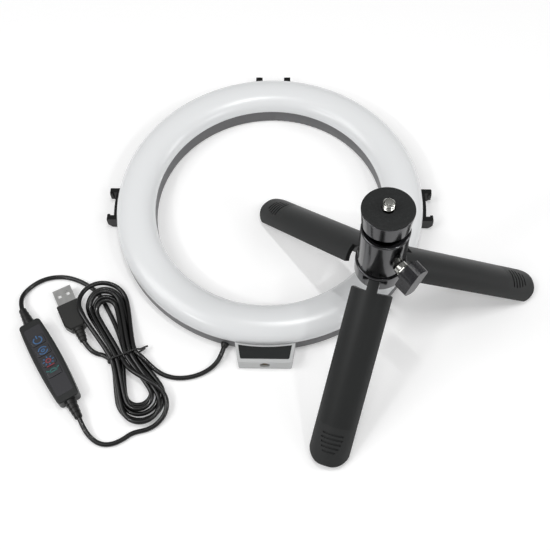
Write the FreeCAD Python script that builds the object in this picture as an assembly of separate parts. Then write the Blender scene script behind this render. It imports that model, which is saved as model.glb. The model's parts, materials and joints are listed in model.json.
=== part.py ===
"""Ring light with clips, USB lead and inline controller, and a folding mini tripod. Millimetres, +Z up."""
import FreeCAD, Part

import math
import os

V = FreeCAD.Vector
ORIGIN = V(0, 0, 0)
X_AXIS, Y_AXIS, Z_AXIS = V(1, 0, 0), V(0, 1, 0), V(0, 0, 1)
PARTS_FOLDER = "parts"

# ---- where the two halves of the set stand (row origin: middle of the footprint, on the floor)
RING_X, RING_Y = -30.86, 33.49
TRIPOD_X, TRIPOD_Y = RING_X + 67.0, RING_Y - 74.4

# ---- ring head
RING_OUTER, RING_INNER = 102.0, 76.5
RING_MIDDLE = (RING_OUTER + RING_INNER) / 2
HOUSING_HEIGHT, HOUSING_WALL, HOUSING_FLOOR = 11.0, 1.8, 2.0
DIFFUSER_RISE, DIFFUSER_SPRING_Z, DIFFUSER_WALL = 7.8, 12.5, 1.6
CARRIER_Z, CARRIER_THICK, BOARD_THICK = 5.5, 1.5, 1.0
SCREW_COUNT, SCREW_R, SCREW_HEAD_R = 6, 1.1, 2.2
LED_RINGS, LEDS_PER_RING = (84.5, 94.0), 24
SEAM = 0.05

# ---- clips at three, nine and twelve o'clock
CLIP_HALF_SPAN, CLIP_PRONG, CLIP_LIP = 12.4, 3.4, 1.2
CLIP_BACK, CLIP_REACH, CLIP_LOW_Z, CLIP_HEIGHT = 2.6, 7.0, 0.4, 10.0
CLIP_ANGLES = {"right": 0.0, "top": 90.0, "left": 180.0}

# ---- socket block at six o'clock
BLOCK_FRONT, BLOCK_HEIGHT = 113.5, 10.5
BLOCK_HALF_BACK, BLOCK_HALF_FRONT = 19.2, 16.5
SOCKET_Z, SOCKET_R, SOCKET_LENGTH = 5.6, 3.2, 8.0
INSERT_R, INSERT_FRONT, INSERT_BACK = 3.9, 111.9, 103.5

# ---- USB lead: routes are in the ring's own axes, ring centre at 0, 0
CORD_R = 1.5
FLOOR_RUN = CORD_R
GLAND_ANGLE, GLAND_Z, GLAND_END, GLAND_HOLE_R = -104.4, 4.2, 104.6, 2.2
LEAD_ROUTE = [
    (-26.0, -101.3, 4.2), (-27.6, -107.2, 4.0), (-31.5, -113.0, 2.4), (-38.5, -117.8, FLOOR_RUN),
    (-46.6, -120.6, FLOOR_RUN), (-55.0, -121.2, FLOOR_RUN), (-63.0, -119.2, FLOOR_RUN),
    (-69.6, -114.9, FLOOR_RUN), (-75.2, -109.9, FLOOR_RUN), (-79.5, -106.5, FLOOR_RUN)]
LOWER_TAIL_ROUTE = [
    (-111.1, -148.3, 4.5), (-108.2, -153.8, 3.9), (-104.0, -159.2, 2.3), (-98.0, -163.3, FLOOR_RUN),
    (-90.8, -163.6, FLOOR_RUN), (-84.2, -160.5, FLOOR_RUN), (-78.6, -156.0, FLOOR_RUN),
    (-73.6, -151.4, FLOOR_RUN)]
UPPER_TAIL_ROUTE = [
    (-157.3, -76.9, 4.5), (-159.3, -71.6, 4.0), (-159.2, -65.2, 2.4), (-155.4, -59.3, FLOOR_RUN),
    (-149.0, -54.3, FLOOR_RUN), (-140.9, -51.7, FLOOR_RUN), (-132.2, -51.7, FLOOR_RUN),
    (-124.4, -54.1, FLOOR_RUN), (-117.6, -57.6, FLOOR_RUN), (-112.5, -61.2, FLOOR_RUN)]
PLUG_LEAD_ROUTE = [
    (-114.6, -98.2, 3.9), (-111.2, -102.6, 3.0), (-106.6, -105.6, 1.9), (-101.2, -106.4, FLOOR_RUN)]
HANK_HEIGHT = 7.5
HANK_CIRCLES = [
    (-107.0, -72.0, 14.5), (-101.0, -86.0, 16.5), (-88.3, -108.0, 10.8), (-83.5, -121.0, 11.5),
    (-74.5, -138.5, 15.0)]
TIE_AT, TIE_HEADING = (-88.3, -108.0), -64.0
TIE_WIDTH, TIE_THICK, TIE_TAIL = 3.2, 1.0, 7.0

# ---- inline controller, lying on the floor
CONTROLLER_AT, CONTROLLER_HEADING = (-134.2, -112.6), 122.9
CONTROLLER_LENGTH, CONTROLLER_END_WIDTH, CONTROLLER_WIDTH, CONTROLLER_HEIGHT = 60.0, 13.8, 16.8, 9.0
CONTROLLER_SPLIT, CONTROLLER_WALL = 4.5, 1.3
BUTTON_PITCH, BUTTON_LENGTH, BUTTON_WIDTH, BUTTON_PROUD, BUTTON_FIRST = 8.0, 6.4, 9.0, 0.5, 15.0
BUTTON_NAMES = ("power", "colour", "brighter", "dimmer")
RELIEF_LENGTH, RELIEF_ROOT, RELIEF_ROOT_R = 12.5, 3.0, 2.6

# ---- USB-A plug, lying on the floor with the hank against it
PLUG_AT, PLUG_HEADING = (-119.05, -89.8), 118.0
PLUG_LENGTH, PLUG_WIDTH, PLUG_HEIGHT = 19.5, 14.6, 7.8
SHELL_LENGTH, SHELL_WIDTH, SHELL_HEIGHT, SHELL_WALL = 11.8, 12.0, 4.5, 0.35
PLUG_RELIEF_LENGTH = 9.5

# ---- tripod: each leg hangs by a tongue from a pin in the hub, and the legs close into a round grip
LEG_ANGLES = {"front": -106.8, "right": 11.1, "left": 131.1}
LEG_SPREAD = 54.0
PIVOT_R, PIN_R, PIN_HALF, KNUCKLE_R = 9.0, 1.5, 6.2, 3.6
TONGUE_HALF, TONGUE_BACK, TONGUE_END = 3.1, -1.8, -24.0
SLOT_HALF, SLOT_BACK, SLOT_TOP = 3.4, 5.0, 4.0
LEG_R, LEG_WALL, LEG_HALF_ANGLE = 14.5, 2.8, 57.0
LEG_TOP, LEG_LENGTH, FOOT_LENGTH, TIP_ROUND = -9.1, 115.0, 24.0, 9.5
FOOT_FLAT = 0.3
GROOVE_LENGTHS, GROOVE_PITCH, GROOVE_WIDTH, GROOVE_DEPTH = (12.5, 13.0, 12.0, 10.5, 8.0), 2.7, 1.1, 0.8
RUNNING = 0.05

# ---- tripod head: heights are above the leg hinges
HUB_LOW, HUB_TAPER, HUB_TOP, HUB_R, HUB_LOW_R = -10.6, -5.8, 5.5, 14.5, 10.0
BARREL_LOW, BARREL_TOP, BARREL_R, BARREL_BORE, BORE_FLOOR = 5.9, 39.0, 13.5, 9.9, 12.0
STUD_LOW, STUD_TOP = -5.5, 10.5
WEDGE_TOP, SEAT_LOW, SEAT_TOP = 18.4, 18.7, 25.1
LOCK_HEIGHT, LOCK_ANGLE, LOCK_SHAFT_R = 15.5, -50.4, 2.0
KNOB_NEAR, KNOB_FAR, KNOB_HUB_R, WING_HALF, WING_THICK, WING_LEAN = 17.8, 27.5, 4.8, 9.2, 9.0, 32.0
BALL_HEIGHT, BALL_R, STEM_R, SOCKET_LIP_R, LIP_LOW = 29.5, 9.5, 4.5, 8.7, 34.5
PLATFORM_LOW, PLATFORM_TOP, PLATFORM_R, PAD_THICK, PAD_R = 11.5, 23.7, 14.3, 1.3, 13.9
CAMERA_SCREW_R, CAMERA_SCREW_NECK_R, CAMERA_SCREW_PROUD = 3.175, 2.9, 5.4
PLATFORM_TILT = -6.0


# ---------------------------------------------------------------- shared shapes
def corner_arc(before, corner, after, radius):
    """Start, middle and end of the arc that rounds a corner."""
    to_before = (before - corner).normalize()
    to_after = (after - corner).normalize()
    half_open = to_before.getAngle(to_after) / 2
    reach = radius / math.tan(half_open)
    inward = (to_before + to_after).normalize()
    middle = corner + inward * (radius / math.sin(half_open) - radius)
    return corner + to_before * reach, middle, corner + to_after * reach


def rounded_wire(points, radii, closed=True):
    """Straight runs through the points, joined by a tangent arc wherever a radius is given."""
    stations = []
    for index, (corner, radius) in enumerate(zip(points, radii)):
        if radius:
            after = points[(index + 1) % len(points)]
            stations.append(corner_arc(points[index - 1], corner, after, radius))
        else:
            stations.append((corner, None, corner))
    edges = []
    for index, (start, middle, end) in enumerate(stations):
        if middle:
            edges.append(Part.Arc(start, middle, end).toShape())
        last = index == len(stations) - 1
        following = stations[(index + 1) % len(stations)][0]
        if not (last and not closed) and end.distanceToPoint(following) > 1e-6:
            edges.append(Part.LineSegment(end, following).toShape())
    return Part.Wire(edges)


def outline(corners):
    """Closed wire in the XY plane from (x, y) or (x, y, rounding radius) corners."""
    points = [V(corner[0], corner[1], 0) for corner in corners]
    return rounded_wire(points, [corner[2] if len(corner) > 2 else 0 for corner in corners])


def prism(corners, low, high):
    """Upright prism over an outline."""
    shape = Part.Face(outline(corners)).extrude(Z_AXIS * (high - low))
    return shape.translated(Z_AXIS * low)


def side_prism(corners, near, far):
    """Prism along X over an outline given as (y, z)."""
    shape = prism(corners, near, far)
    shape.rotate(ORIGIN, V(1, 1, 1), 120)
    return shape


def turned(corners, wire=None):
    """Solid of revolution about Z over an outline given as (radius, z)."""
    face = Part.Face(wire or outline(corners))
    face.rotate(ORIGIN, X_AXIS, 90)
    return face.revolve(ORIGIN, Z_AXIS, 360)


def box(low, high):
    """Box between two corners."""
    return Part.makeBox(high[0] - low[0], high[1] - low[1], high[2] - low[2], V(*low))


def rounded_rectangle(half_x, half_y, radius):
    """Corners of a rectangle about the origin, all rounded alike."""
    signs = ((1, 1), (-1, 1), (-1, -1), (1, -1))
    return [(half_x * sign_x, half_y * sign_y, radius) for sign_x, sign_y in signs]


def rod(radius, start, end):
    """Cylinder between two points."""
    along = end - start
    return Part.makeCylinder(radius, along.Length, start, along)


def around(shape, angle):
    """Copy turned about Z."""
    copy = shape.copy()
    copy.rotate(ORIGIN, Z_AXIS, angle)
    return copy


def fused(shapes):
    """One clean solid from shapes that touch or overlap."""
    return shapes[0].fuse(shapes[1:]).removeSplitter()


def on_ring(shape, at=(0, 0), heading=0.0):
    """Copy placed in the ring's axes, which are the row's axes moved to the ring's centre."""
    copy = around(shape, heading)
    copy.translate(V(RING_X + at[0], RING_Y + at[1], 0))
    return copy


# ---------------------------------------------------------------- ring head
def screw_places():
    """Middles of the six screws that hold the back on."""
    step = 360 / SCREW_COUNT
    for index in range(SCREW_COUNT):
        angle = math.radians(step * (index + 0.5))
        yield V(RING_MIDDLE * math.cos(angle), RING_MIDDLE * math.sin(angle), 0)


def rear_housing():
    outer, inner, wall = RING_OUTER, RING_INNER, HOUSING_WALL
    shape = turned([
        (inner, 0, 1.5), (outer, 0, 3.0), (outer, HOUSING_HEIGHT, 0.4), (outer - wall, HOUSING_HEIGHT),
        (outer - wall, HOUSING_FLOOR, 1.5), (inner + wall, HOUSING_FLOOR), (inner + wall, HOUSING_HEIGHT),
        (inner, HOUSING_HEIGHT, 0.4)])
    tools = [on_axis_cylinder(place, SCREW_R + 0.25, -1, HOUSING_FLOOR + 1) for place in screw_places()]
    tools += [on_axis_cylinder(place, SCREW_HEAD_R + 0.3, -1, 1.2) for place in screw_places()]
    slot = box((RING_OUTER - 4, -5.1, 3.9), (RING_OUTER + 1, 5.1, 8.1))
    tools += [around(slot, angle) for angle in CLIP_ANGLES.values()]
    tools.append(around(rod(GLAND_HOLE_R, V(RING_OUTER - 4, 0, GLAND_Z), V(RING_OUTER + 1, 0, GLAND_Z)), GLAND_ANGLE))
    tools += block_screw_rods(1.3, 97.0, 103.0)
    return shape.cut(tools)


def on_axis_cylinder(place, radius, low, high):
    return Part.makeCylinder(radius, high - low, place + Z_AXIS * low)


def block_screw_rods(radius, near, far):
    height = SOCKET_Z - 0.6
    return [rod(radius, V(x, -near, height), V(x, -far, height)) for x in (-11.0, 11.0)]


def led_carrier():
    inner, outer, high = RING_INNER + 2.4, RING_OUTER - 3.6, CARRIER_Z + CARRIER_THICK
    plate = turned([(inner, CARRIER_Z), (outer, CARRIER_Z), (outer, high), (inner, high)])
    bosses = [on_axis_cylinder(place, 3.2, HOUSING_FLOOR, CARRIER_Z + 0.5) for place in screw_places()]
    pilots = [on_axis_cylinder(place, SCREW_R, 0, CARRIER_Z + 0.8) for place in screw_places()]
    return fused([plate] + bosses).cut(pilots)


def housing_screws():
    screws = []
    for place in screw_places():
        head = on_axis_cylinder(place, SCREW_HEAD_R, 0.35, 1.2)
        shank = on_axis_cylinder(place, SCREW_R, 1.0, CARRIER_Z + 0.6)
        slot = box((-SCREW_HEAD_R, -0.3, 0), (SCREW_HEAD_R, 0.3, 0.7)).translated(place)
        screws.append(head.fuse(shank).cut(slot))
    return Part.makeCompound(screws)


def led_board():
    low = CARRIER_Z + CARRIER_THICK
    return turned([(80.5, low), (97.5, low), (97.5, low + BOARD_THICK), (80.5, low + BOARD_THICK)])


def led_chips():
    low = CARRIER_Z + CARRIER_THICK + BOARD_THICK
    chips = []
    for ring, radius in enumerate(LED_RINGS):
        chip = box((radius - 1.4, -1.75, low), (radius + 1.4, 1.75, low + 0.8))
        step = 360 / LEDS_PER_RING
        chips += [around(chip, step * (index + ring / 2)) for index in range(LEDS_PER_RING)]
    return Part.makeCompound(chips)


def half_ellipse(half_width, rise):
    """Arch over the middle of the ring's section, from its outer end to its inner end."""
    ellipse = Part.Ellipse(V(RING_MIDDLE, DIFFUSER_SPRING_Z, 0), half_width, rise)
    return Part.ArcOfEllipse(ellipse, 0, math.pi).toShape()


def diffuser():
    """Opal arch with a skirt that sits on the housing and a tongue inside each housing wall."""
    half = (RING_OUTER - RING_INNER) / 2 + SEAM
    tongue_outer, tongue_inner = half - HOUSING_WALL - 0.15, half - HOUSING_WALL - 1.3
    seat, spring, tip = HOUSING_HEIGHT + SEAM, DIFFUSER_SPRING_Z, HOUSING_HEIGHT - 1.4
    edges = [half_ellipse(half, DIFFUSER_RISE), half_ellipse(tongue_inner, DIFFUSER_RISE - DIFFUSER_WALL)]
    for side in (1, -1):
        steps = [(half, spring), (half, seat), (tongue_outer, seat), (tongue_outer, tip), (tongue_inner, tip),
                 (tongue_inner, spring)]
        corners = [V(RING_MIDDLE + side * across, height, 0) for across, height in steps]
        edges += [Part.LineSegment(a, b).toShape() for a, b in zip(corners, corners[1:])]
    return turned(None, Part.Wire(Part.__sortEdges__(edges)))


# ---------------------------------------------------------------- clips, socket block, gland
def accessory_clip():
    """C-shaped clip on the side of the housing: back plate, two lipped prongs, a tongue in the wall."""
    tip = RING_OUTER + CLIP_REACH
    inner = CLIP_HALF_SPAN - CLIP_PRONG
    ring = turned([(RING_OUTER, CLIP_LOW_Z), (RING_OUTER + CLIP_BACK, CLIP_LOW_Z),
                   (RING_OUTER + CLIP_BACK, CLIP_HEIGHT), (RING_OUTER, CLIP_HEIGHT)])
    back = ring.common(box((0, -CLIP_HALF_SPAN, 0), (tip, CLIP_HALF_SPAN, CLIP_HEIGHT)))
    side = prism([(RING_OUTER, CLIP_LOW_Z), (tip - 2.4, CLIP_LOW_Z, 1.0), (tip, 3.6, 1.5),
                  (tip, CLIP_HEIGHT, 0.8), (RING_OUTER, CLIP_HEIGHT)], inner, CLIP_HALF_SPAN)
    side.rotate(ORIGIN, X_AXIS, 90)
    lip = box((tip - 2.0, inner - CLIP_LIP, 3.6), (tip - 0.2, inner + 0.5, CLIP_HEIGHT - 0.4))
    prongs = [side, side.mirror(ORIGIN, Y_AXIS), lip, lip.mirror(ORIGIN, Y_AXIS)]
    tongue = box((RING_OUTER - 3, -5, 4), (RING_OUTER + 1, 5, 8))
    prongs = [prong.cut(Part.makeCylinder(RING_OUTER, CLIP_HEIGHT + 2, V(0, 0, -1))) for prong in prongs]
    return fused([back] + prongs + [tongue])


def block_plan(inset, back, front, height_low, height_high):
    """Tapered block in plan, kept outside a circle that follows the ring."""
    slope = (BLOCK_HALF_BACK - BLOCK_HALF_FRONT) / (BLOCK_FRONT - 98.0)
    half_front = BLOCK_HALF_FRONT + slope * (BLOCK_FRONT - front) - inset
    shape = prism([(-BLOCK_HALF_BACK + inset, -98.0), (-half_front, -front, 1.2), (half_front, -front, 1.2),
                   (BLOCK_HALF_BACK - inset, -98.0)], height_low, height_high)
    return shape.cut(Part.makeCylinder(back, BLOCK_HEIGHT + 4, V(0, 0, -1)))


def socket_block():
    body = block_plan(0.0, RING_OUTER, BLOCK_FRONT, 0, BLOCK_HEIGHT)
    face = side_prism([(-18.0, 0, 3.0), (18.0, 0, 3.0), (20.0, BLOCK_HEIGHT, 0.6), (-20.0, BLOCK_HEIGHT, 0.6)],
                      90.0, 120.0)
    recess = block_plan(1.8, 103.2, 111.2, BLOCK_HEIGHT - 0.9, BLOCK_HEIGHT + 1)
    mouth = rod(SOCKET_R, V(0, -BLOCK_FRONT - 1, SOCKET_Z), V(0, -INSERT_FRONT + 0.5, SOCKET_Z))
    pocket = rod(INSERT_R, V(0, -INSERT_FRONT, SOCKET_Z), V(0, -INSERT_BACK, SOCKET_Z))
    return body.common(around(face, -90)).cut([recess, mouth, pocket] + block_screw_rods(1.1, 99.0, 108.5))


def socket_window():
    return block_plan(1.92, 103.32, 111.08, BLOCK_HEIGHT - 0.9, BLOCK_HEIGHT - 0.1)


def socket_insert():
    body = rod(INSERT_R, V(0, -INSERT_FRONT, SOCKET_Z), V(0, -INSERT_BACK, SOCKET_Z))
    bore = rod(SOCKET_R, V(0, -INSERT_FRONT, SOCKET_Z), V(0, -INSERT_FRONT + SOCKET_LENGTH, SOCKET_Z))
    return body.cut(bore)


def block_screws():
    shanks = block_screw_rods(1.1, 99.0, 108.4)
    heads = block_screw_rods(2.0, 98.2, 99.1)
    return Part.makeCompound([shank.fuse(head) for shank, head in zip(shanks, heads)])


def cable_gland():
    """Grommet where the lead leaves the housing: a neck through the wall and a flange that fits round it."""
    neck, flange = GLAND_HOLE_R - 0.05, GLAND_HOLE_R + 0.4
    body = turned([(0, 99.0), (neck, 99.0), (neck, RING_OUTER), (flange, RING_OUTER - 0.1),
                   (flange, RING_OUTER + 0.8, 0.3), (1.9, GLAND_END), (0, GLAND_END)])
    body.rotate(ORIGIN, Y_AXIS, 90)
    body.translate(Z_AXIS * GLAND_Z)
    wall = Part.makeCylinder(RING_OUTER, 20).common(box((RING_OUTER - 1.8, -5, 0), (RING_OUTER + 1, 5, 20)))
    wall = wall.cut(rod(neck, V(90, 0, GLAND_Z), V(110, 0, GLAND_Z)))
    return around(body.cut(wall), GLAND_ANGLE)


# ---------------------------------------------------------------- USB lead
def cord_tube(name, route):
    """Round tube on straight runs joined by tangent arcs as large as the runs allow."""
    points = [V(*point) for point in route]
    radii = [0]
    for before, corner, after in zip(points, points[1:], points[2:]):
        shorter = min(before.distanceToPoint(corner), corner.distanceToPoint(after))
        half_turn = (corner - before).getAngle(after - corner) / 2
        radii.append(0.45 * shorter / math.tan(half_turn))
    radii.append(0)
    path = rounded_wire(points, radii, closed=False)
    profile = Part.Wire(Part.makeCircle(CORD_R, points[0], points[1] - points[0]))
    tube = path.makePipeShell([profile], True, False)
    ratio = tube.Volume / (math.pi * CORD_R ** 2 * path.Length)
    shown = " ".join(f"{radius:.1f}" for radius in radii[1:-1])
    print(f"{name}: length {path.Length:.1f}, volume ratio {ratio:.4f}, radii {shown}")
    return tube


def tapered_capsule(first, second, height):
    """Upright prism over the hull of two circles, each (x, y, radius)."""
    start, end = V(first[0], first[1], 0), V(second[0], second[1], 0)
    along = end - start
    lean = math.acos((first[2] - second[2]) / along.Length)
    heading = math.atan2(along.y, along.x)
    rims = []
    for side in (1, -1):
        outward = V(math.cos(heading + side * lean), math.sin(heading + side * lean), 0)
        rims.append((start + outward * first[2], end + outward * second[2]))
    middle = prism([(rim.x, rim.y) for rim in (rims[0][0], rims[1][0], rims[1][1], rims[0][1])], 0, height)
    ends = [Part.makeCylinder(circle[2], height, V(circle[0], circle[1], 0)) for circle in (first, second)]
    return fused([middle] + ends)


def tie_frame(half_across, low, high):
    """Block across the waist of the hank, where the tie goes round it."""
    block = box((-TIE_WIDTH / 2, -half_across, low), (TIE_WIDTH / 2, half_across, high))
    block = around(block, TIE_HEADING)
    return block.translated(V(TIE_AT[0], TIE_AT[1], 0))


def cable_hank():
    lobes = [tapered_capsule(first, second, HANK_HEIGHT) for first, second in zip(HANK_CIRCLES, HANK_CIRCLES[1:])]
    hank = fused(lobes).cut(tie_frame(20, -1, HANK_HEIGHT + 1))
    waist = tie_frame(9.5, TIE_THICK + 0.2, HANK_HEIGHT - TIE_THICK)
    return fused([hank, waist]).cut(ring_axes(plug_clearance(), PLUG_AT, PLUG_HEADING))


def hank_tie():
    band = tie_frame(10.6, 0.1, HANK_HEIGHT + 0.2).cut(tie_frame(9.5, TIE_THICK + 0.2, HANK_HEIGHT - TIE_THICK))
    tail = box((-0.7, 9.0, 3.6), (0.7, 10.0 + TIE_TAIL, 5.0))
    knot = box((-1.3, -13.0, 2.0), (1.3, -10.4, 5.2))
    tail, knot = (ring_axes(end, TIE_AT, TIE_HEADING).cut(tie_frame(10.5, 0, 9)) for end in (tail, knot))
    return fused([band, tail, knot])


def ring_axes(shape, at, heading):
    """Copy placed by a point and a heading in the ring's axes."""
    return around(shape, heading).translated(V(at[0], at[1], 0))


# ---------------------------------------------------------------- inline controller
def bowed_prism(inset, low, high):
    """Controller outline: square ends and sides that bow outwards."""
    end, half_end, half_middle = CONTROLLER_LENGTH / 2 - inset, CONTROLLER_END_WIDTH / 2 - inset, \
        CONTROLLER_WIDTH / 2 - inset
    corners = [V(end, half_end, 0), V(-end, half_end, 0), V(-end, -half_end, 0), V(end, -half_end, 0)]
    edges = [Part.Arc(corners[0], V(0, half_middle, 0), corners[1]).toShape(),
             Part.LineSegment(corners[1], corners[2]).toShape(),
             Part.Arc(corners[2], V(0, -half_middle, 0), corners[3]).toShape(),
             Part.LineSegment(corners[3], corners[0]).toShape()]
    solid = Part.Face(Part.Wire(edges)).extrude(Z_AXIS * (high - low)).translated(Z_AXIS * low)
    upright = [edge for edge in solid.Edges if abs(edge.tangentAt(edge.FirstParameter).z) > 0.99]
    return solid.makeFillet(2.4 - inset, upright)


def button_places():
    return [BUTTON_FIRST - BUTTON_PITCH * index for index in range(len(BUTTON_NAMES))]


def button_windows(low, high, gap):
    window = prism(rounded_rectangle(BUTTON_LENGTH / 2 + gap, BUTTON_WIDTH / 2 + gap, 1.2), low, high)
    return [window.translated(X_AXIS * place) for place in button_places()]


def relief_ends():
    """Holes in the two ends of the case for the roots of the strain reliefs."""
    shapes = []
    for side in (1, -1):
        end = side * CONTROLLER_LENGTH / 2
        near, far = V(end - side * 4, 0, CONTROLLER_SPLIT), V(end + side, 0, CONTROLLER_SPLIT)
        shapes.append(rod(RELIEF_ROOT_R, near, far))
    return shapes


def controller_base():
    shell = bowed_prism(0, 0, CONTROLLER_SPLIT).cut(bowed_prism(CONTROLLER_WALL, 1.2, CONTROLLER_SPLIT + 1))
    edge = [edge for edge in shell.Edges if edge.BoundBox.ZMax < 0.01]
    shell = shell.makeChamfer(0.7, edge)
    posts = [Part.makeCylinder(1.6, 2.9, V(x, 0, 1.1)) for x in (-18, 0, 18)]
    return fused([shell] + posts).cut(relief_ends())


def controller_cover():
    low = CONTROLLER_SPLIT + SEAM
    shell = bowed_prism(0, low, CONTROLLER_HEIGHT)
    edge = [edge for edge in shell.Edges if edge.BoundBox.ZMin > CONTROLLER_HEIGHT - 0.01]
    shell = shell.makeFillet(0.9, edge)
    shell = shell.cut(bowed_prism(CONTROLLER_WALL, low - 1, CONTROLLER_HEIGHT - 1.4))
    recess = label_plate(CONTROLLER_HEIGHT - 0.4, CONTROLLER_HEIGHT + 1, 0)
    return shell.cut([recess] + button_windows(low, CONTROLLER_HEIGHT + 1, 0.1) + relief_ends())


def label_plate(low, high, inset):
    return prism(rounded_rectangle(25.5 - inset, 5.7 - inset, 1.4), low, high)


def controller_label():
    plate = label_plate(CONTROLLER_HEIGHT - 0.4, CONTROLLER_HEIGHT - 0.05, 0.08)
    return plate.cut(button_windows(0, CONTROLLER_HEIGHT + 1, 0.1))


def controller_board():
    return prism(rounded_rectangle(24.0, 5.0, 0.8), 4.0, 5.0)


def controller_switches():
    return Part.makeCompound([Part.makeCylinder(2.2, 0.9, V(place, 0, 5.0)) for place in button_places()])


def button(place):
    top = CONTROLLER_HEIGHT + BUTTON_PROUD
    cap = prism(rounded_rectangle(BUTTON_LENGTH / 2, BUTTON_WIDTH / 2, 1.1), 6.3, top)
    rim = [edge for edge in cap.Edges if edge.BoundBox.ZMin > top - 0.01]
    cap = cap.makeFillet(0.3, rim)
    flange = prism(rounded_rectangle(BUTTON_LENGTH / 2 + 0.5, BUTTON_WIDTH / 2 + 0.5, 1.1), 6.3, 7.2)
    return cap.fuse(flange).removeSplitter().translated(X_AXIS * place)


def strain_relief(length, large, small):
    """Ribbed taper along +X from x = 0, with a root that reaches back into the case."""
    ribs, step = 4, length / 4
    profile = [(0, -RELIEF_ROOT), (RELIEF_ROOT_R, -RELIEF_ROOT), (RELIEF_ROOT_R, 0)]
    for index in range(ribs):
        radius = large + (small - large) * index / (ribs - 1)
        near, far = index * step, (index + 1) * step
        profile += [(radius, near), (radius, far - 0.7), (radius - 0.5, far - 0.7), (radius - 0.5, far)]
    shape = turned(profile + [(0, length)])
    shape.rotate(ORIGIN, Y_AXIS, 90)
    return shape


def controller_relief(side):
    shape = strain_relief(RELIEF_LENGTH, 3.5, 2.5)
    shape = around(shape, 0 if side > 0 else 180)
    return shape.translated(V(side * CONTROLLER_LENGTH / 2, 0, CONTROLLER_SPLIT))


# ---------------------------------------------------------------- USB plug
def plug_envelope(gap):
    """Overmould of the plug along +X from x = 0, swollen by a gap."""
    half = PLUG_WIDTH / 2 + gap
    return prism([(-gap, -half * 0.62, 1.2), (4.5, -half, 1.2), (PLUG_LENGTH + gap, -half, 1.0),
                  (PLUG_LENGTH + gap, half, 1.0), (4.5, half, 1.2), (-gap, half * 0.62, 1.2)],
                 0, PLUG_HEIGHT + gap)


def plug_clearance():
    """Room that the hank leaves for the plug, its shell and its strain relief."""
    relief = box((-PLUG_RELIEF_LENGTH - 0.4, -3.8, 0), (1, 3.8, PLUG_HEIGHT + 0.4))
    shell = box((PLUG_LENGTH, -SHELL_WIDTH / 2 - 0.4, 0),
                (PLUG_LENGTH + SHELL_LENGTH + 0.4, SHELL_WIDTH / 2 + 0.4, PLUG_HEIGHT + 0.4))
    return fused([plug_envelope(0.4), relief, shell])


def plug_overmould():
    body = plug_envelope(0)
    long_edges = [edge for edge in body.Edges
                  if edge.BoundBox.ZMin > PLUG_HEIGHT - 0.01 or edge.BoundBox.ZMax < 0.01]
    body = body.makeChamfer(0.8, long_edges)
    middle = PLUG_HEIGHT / 2
    pocket = box((PLUG_LENGTH - 6, -SHELL_WIDTH / 2, middle - SHELL_HEIGHT / 2),
                 (PLUG_LENGTH + 1, SHELL_WIDTH / 2, middle + SHELL_HEIGHT / 2))
    return body.cut([pocket, rod(RELIEF_ROOT_R, V(-1, 0, middle), V(3.5, 0, middle))])


def plug_shell():
    middle, near, far = PLUG_HEIGHT / 2, PLUG_LENGTH - 6, PLUG_LENGTH + SHELL_LENGTH
    half, rise = SHELL_WIDTH / 2, SHELL_HEIGHT / 2
    tube = box((near, -half, middle - rise), (far, half, middle + rise))
    hollow = box((near - 1, -half + SHELL_WALL, middle - rise + SHELL_WALL),
                 (far + 1, half - SHELL_WALL, middle + rise - SHELL_WALL))
    latch = PLUG_LENGTH + 5.2
    windows = [box((latch, y - 1.15, 0), (latch + 2.2, y + 1.15, PLUG_HEIGHT)) for y in (-2.8, 2.8)]
    return tube.cut([hollow] + windows)


def plug_tongue():
    low = PLUG_HEIGHT / 2 - 0.1
    return box((PLUG_LENGTH - 6, -5.6, low), (PLUG_LENGTH + SHELL_LENGTH - 0.5, 5.6, low + 1.8))


def plug_contacts():
    low = PLUG_HEIGHT / 2 - 0.3
    strips = []
    for y in (-3.5, -1.2, 1.2, 3.5):
        strips.append(box((PLUG_LENGTH - 2, y - 0.5, low), (PLUG_LENGTH + SHELL_LENGTH - 1.5, y + 0.5, low + 0.2)))
    return Part.makeCompound(strips)


def plug_relief():
    shape = strain_relief(PLUG_RELIEF_LENGTH, 3.4, 2.4)
    return around(shape, 180).translated(Z_AXIS * (PLUG_HEIGHT / 2))


# ---------------------------------------------------------------- tripod legs, hinge at the origin, closed
def leg_slab(low, high, inner_r):
    """Part of a round grip about the tripod's axis, a third of the way round, between two heights."""
    section = Part.makeCylinder(LEG_R, high - low, V(-PIVOT_R, 0, low))
    if inner_r:
        section = section.cut(Part.makeCylinder(inner_r, high - low, V(-PIVOT_R, 0, low)))
    reach = 2 * LEG_R
    half = math.radians(LEG_HALF_ANGLE)
    wedge = prism([(-PIVOT_R, 0), (-PIVOT_R + reach * math.cos(half), -reach * math.sin(half)),
                   (reach, 0), (-PIVOT_R + reach * math.cos(half), reach * math.sin(half))], low, high)
    rounded = side_prism([(-12.4, LEG_TOP, 1.5), (12.4, LEG_TOP, 1.5), (12.4, -LEG_LENGTH, TIP_ROUND),
                          (-12.4, -LEG_LENGTH, TIP_ROUND)], -20, 20)
    return section.common(wedge).common(rounded)


def leg():
    """Hollow third of a grip with a rib down its middle, which runs on upwards as the tongue on the hinge pin."""
    shell = leg_slab(-LEG_LENGTH + FOOT_LENGTH, LEG_TOP, LEG_R - LEG_WALL)
    flush = Part.makeCylinder(LEG_R, -TONGUE_END - 2.0, V(-PIVOT_R, 0, TONGUE_END))
    tongue = flush.common(box((TONGUE_BACK, -TONGUE_HALF, TONGUE_END), (LEG_R, TONGUE_HALF, -2.0)))
    knuckle = rod(KNUCKLE_R, V(0, -TONGUE_HALF, 0), V(0, TONGUE_HALF, 0))
    return fused([shell, tongue, knuckle]).cut(rod(PIN_R + RUNNING, V(0, -10, 0), V(0, 10, 0)))


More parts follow.
